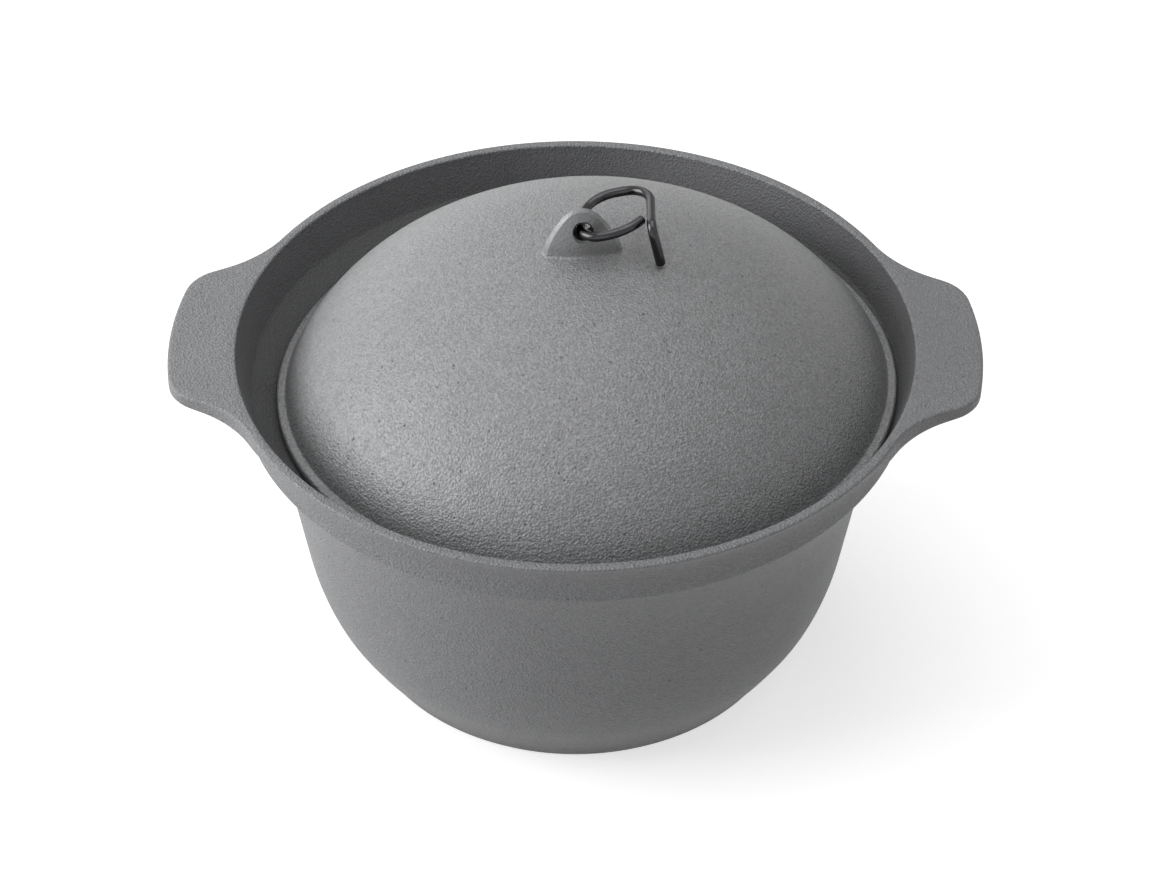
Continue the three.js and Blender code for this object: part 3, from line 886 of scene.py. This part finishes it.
def makeRing():
    bm = bmesh.new()
    near = ring["nearBend"]
    sweep = math.radians(ring["nearSweepAngle"])
    lead = ring["eyeLead"]
    nearCenter = Vector((near + ring["nearRun"], ring["nearSweep"] - near - lead, 0))
    start = nearCenter + toward(sweep - quarter).to_3d() * ring["nearSweep"]
    heading = Vector((math.sin(sweep - quarter), -math.cos(sweep - quarter), 0))
    facing = Vector((0, 0, 1)).rotation_difference(heading).to_matrix().to_4x4()
    made = bmesh.ops.create_circle(
        bm, cap_ends=True, segments=ring["sides"], radius=ring["wireRadius"],
        matrix=Matrix.Translation(start) @ facing,
    )
    section = list(dict.fromkeys(e for v in made["verts"] for e in v.link_edges))
    caps = list(bm.faces)

    def bend(section, center, axis, degrees, steps):
        verts = list(dict.fromkeys(v for e in section for v in e.verts))
        last = bmesh.ops.spin(
            bm, geom=verts + section, cent=center, axis=axis, angle=math.radians(degrees), steps=steps,
        )["geom_last"]
        return [g for g in last if isinstance(g, bmesh.types.BMEdge)]

    def run(section, travel, steps=1):
        for _ in range(steps):
            grown = bmesh.ops.extrude_edge_only(bm, edges=section)["geom"]
            bmesh.ops.translate(
                bm, vec=travel / steps, verts=[g for g in grown if isinstance(g, bmesh.types.BMVert)],
            )
            section = [
                g for g in grown
                if isinstance(g, bmesh.types.BMEdge) and len(g.link_faces) == 1
            ]
        return section

    # From the near end: a wide sweep, the bend into the lug's hole, the loop's far side and the prop
    clockwise = Vector((0, 0, -1))
    far, corner, prop = ring["farBend"], ring["corner"], ring["propBend"]
    topY = ring["eyeRun"] + far
    sideX = far + ring["farRun"] + corner
    bendY = topY - corner - ring["sideRun"]
    cornerCenter = Vector((far + ring["farRun"], topY - corner, 0))
    section = bend(section, nearCenter, clockwise, ring["nearSweepAngle"], ring["nearSweepSteps"])
    section = run(section, Vector((-ring["nearRun"], 0, 0)))
    section = bend(section, Vector((near, -lead, 0)), clockwise, 90, ring["nearBendSteps"])
    section = run(section, Vector((0, lead + ring["eyeRun"], 0)), ring["eyeRunSteps"])
    section = bend(section, Vector((far, ring["eyeRun"], 0)), clockwise, 90, ring["farBendSteps"])
    section = run(section, Vector((ring["farRun"], 0, 0)))
    section = bend(section, cornerCenter, clockwise, 90, ring["cornerSteps"])
    section = run(section, Vector((0, -ring["sideRun"], 0)), ring["sideRunSteps"])
    section = bend(section, Vector((sideX, bendY, -prop)), Vector((1, 0, 0)), 90, ring["propSteps"])
    drop = propDrop(sideX, bendY - prop, math.radians(ring["rise"]))
    section = run(section, Vector((0, 0, prop - drop)), ring["propRunSteps"])
    caps += bmesh.ops.contextual_create(bm, geom=section)["faces"]
    bmesh.ops.recalc_face_normals(bm, faces=bm.faces)
    ends = list(dict.fromkeys(e for f in caps for e in f.edges))
    bmesh.ops.bevel(
        bm, geom=ends, offset=ring["endRound"], segments=ring["endSteps"],
        profile=0.5, affect="EDGES", material=-1,
    )
    rise = Matrix.Rotation(-math.radians(ring["rise"]), 4, "Y")
    bmesh.ops.transform(bm, matrix=onSeat() @ Matrix.Translation((0, 0, eyeHeight)) @ rise, verts=bm.verts)
    finishPiece(bm, "pull_ring", "ring", "lid_ring", [blackenedWire], ring["sharpAngle"])


makeRing()
print("pull ring ready")


# Floor, light and camera

# The floor and the lamps are in metres
stage = {
    "floorSize": 14.0, "floorGap": 0.00005, "floorColor": (0.64, 0.64, 0.64), "floorLift": 0.68,
    "farLift": 1.0, "liftStart": 0.45, "liftEnd": 1.0,
    "worldFill": 0.085, "lampAim": (0.0, 0.0, 0.09), "lampDistance": 1.9,
}
lamps = (
    # name, bearing from +X, elevation, side, power
    ("keySoftbox", 186.0, 20.0, 1.3, 39.5),
    ("backSoftbox", 122.0, 22.0, 1.3, 7.5),
    ("frontSoftbox", 250.0, 12.0, 1.3, 3.0),
    ("topSoftbox", 90.0, 88.0, 1.75, 20.0),
)


def seenLevel(make, link, hidden, shown):
    # Gives the hidden level to the light on the object, and the shown level where the pale ground is seen
    path = make("ShaderNodeLightPath")
    seen = path.outputs["Is Camera Ray"]
    for ray in ("Is Glossy Ray", "Is Transmission Ray"):
        either = make("ShaderNodeMath", operation="MAXIMUM")
        link(seen, either.inputs[0])
        link(path.outputs[ray], either.inputs[1])
        seen = either.outputs[0]
    level = make("ShaderNodeMapRange")
    level.inputs["To Min"].default_value = hidden
    level.inputs["To Max"].default_value = shown
    link(seen, level.inputs["Value"])
    return level.outputs["Result"]


def liftByDistance(make, link):
    # Farther out, where the lamps no longer reach, the level at which the floor is seen rises to white
    place = make("ShaderNodeTexCoord")
    distance = make("ShaderNodeVectorMath", operation="LENGTH")
    link(place.outputs["Object"], distance.inputs[0])
    lift = make("ShaderNodeMapRange")
    lift.inputs["From Min"].default_value = stage["liftStart"]
    lift.inputs["From Max"].default_value = stage["liftEnd"]
    lift.inputs["To Min"].default_value = stage["floorLift"]
    lift.inputs["To Max"].default_value = stage["farLift"]
    link(distance.outputs["Value"], lift.inputs["Value"])
    return lift.outputs["Result"]


def makeFloor():
    bm = bmesh.new()
    bmesh.ops.create_grid(bm, x_segments=1, y_segments=1, size=stage["floorSize"] / 2)
    mesh = bpy.data.meshes.new("floor")
    bm.to_mesh(mesh)
    bm.free()
    floor = bpy.data.objects.new("floor", mesh)
    floor.location.z = -stage["floorGap"]
    bpy.context.scene.collection.objects.link(floor)
    material = bpy.data.materials.new("paleFloor")
    material.use_nodes = True
    tree = material.node_tree
    make, link = nodeMaker(tree), tree.links.new
    shader = tree.nodes["Principled BSDF"]
    shader.inputs["Base Color"].default_value = (*stage["floorColor"], 1)
    shader.inputs["Roughness"].default_value = 1.0
    shader.inputs["Specular IOR Level"].default_value = 0.0
    shader.inputs["Emission Color"].default_value = (1, 1, 1, 1)
    glow = make("ShaderNodeMath", operation="MULTIPLY")
    link(seenLevel(make, link, 0.0, 1.0), glow.inputs[0])
    link(liftByDistance(make, link), glow.inputs[1])
    link(glow.outputs[0], shader.inputs["Emission Strength"])
    mesh.materials.append(material)


def makeWorld():
    world = bpy.data.worlds.new("paleRoom")
    world.use_nodes = True
    bpy.context.scene.world = world
    tree = world.node_tree
    make, link = nodeMaker(tree), tree.links.new
    background = tree.nodes["Background"]
    background.inputs["Color"].default_value = (1, 1, 1, 1)
    link(seenLevel(make, link, stage["worldFill"], 1.0), background.inputs["Strength"])


def makeLamp(name, bearing, elevation, side, power):
    data = bpy.data.lights.new(name, "AREA")
    data.shape, data.size, data.energy = "SQUARE", side, power
    lamp = bpy.data.objects.new(name, data)
    around, up = math.radians(bearing), math.radians(elevation)
    away = Vector((math.cos(around) * math.cos(up), math.sin(around) * math.cos(up), math.sin(up)))
    lamp.location = Vector(stage["lampAim"]) + away * stage["lampDistance"]
    lamp.rotation_mode = "QUATERNION"
    lamp.rotation_quaternion = (-away).to_track_quat("-Z", "Y")
    bpy.context.scene.collection.objects.link(lamp)


makeFloor()
makeWorld()
for lamp in lamps:
    makeLamp(*lamp)

# Fitted to the outline in the photograph
camera = {
    "lens": 92.179, "sensorWidth": 36.0, "distance": 894.3, "elevation": 39.585, "azimuth": 0.939,
    "target": (1.767, -19.061, 88.678), "roll": 0.15,
}


def makeCamera():
    data = bpy.data.cameras.new("camera")
    data.lens, data.sensor_width = camera["lens"], camera["sensorWidth"]
    eye = bpy.data.objects.new("camera", data)
    azimuth, elevation = math.radians(camera["azimuth"]), math.radians(camera["elevation"])
    level = math.cos(elevation)
    back = Vector((math.sin(azimuth) * level, -math.cos(azimuth) * level, math.sin(elevation)))
    eye.location = (Vector(camera["target"]) + back * camera["distance"]) * mm
    eye.rotation_mode = "QUATERNION"
    roll = Quaternion((0, 0, 1), math.radians(camera["roll"]))
    eye.rotation_quaternion = (-back).to_track_quat("-Z", "Y") @ roll
    bpy.context.scene.collection.objects.link(eye)
    bpy.context.scene.camera = eye


makeCamera()
bpy.context.scene.view_settings.view_transform = "Standard"
print("stage ready")
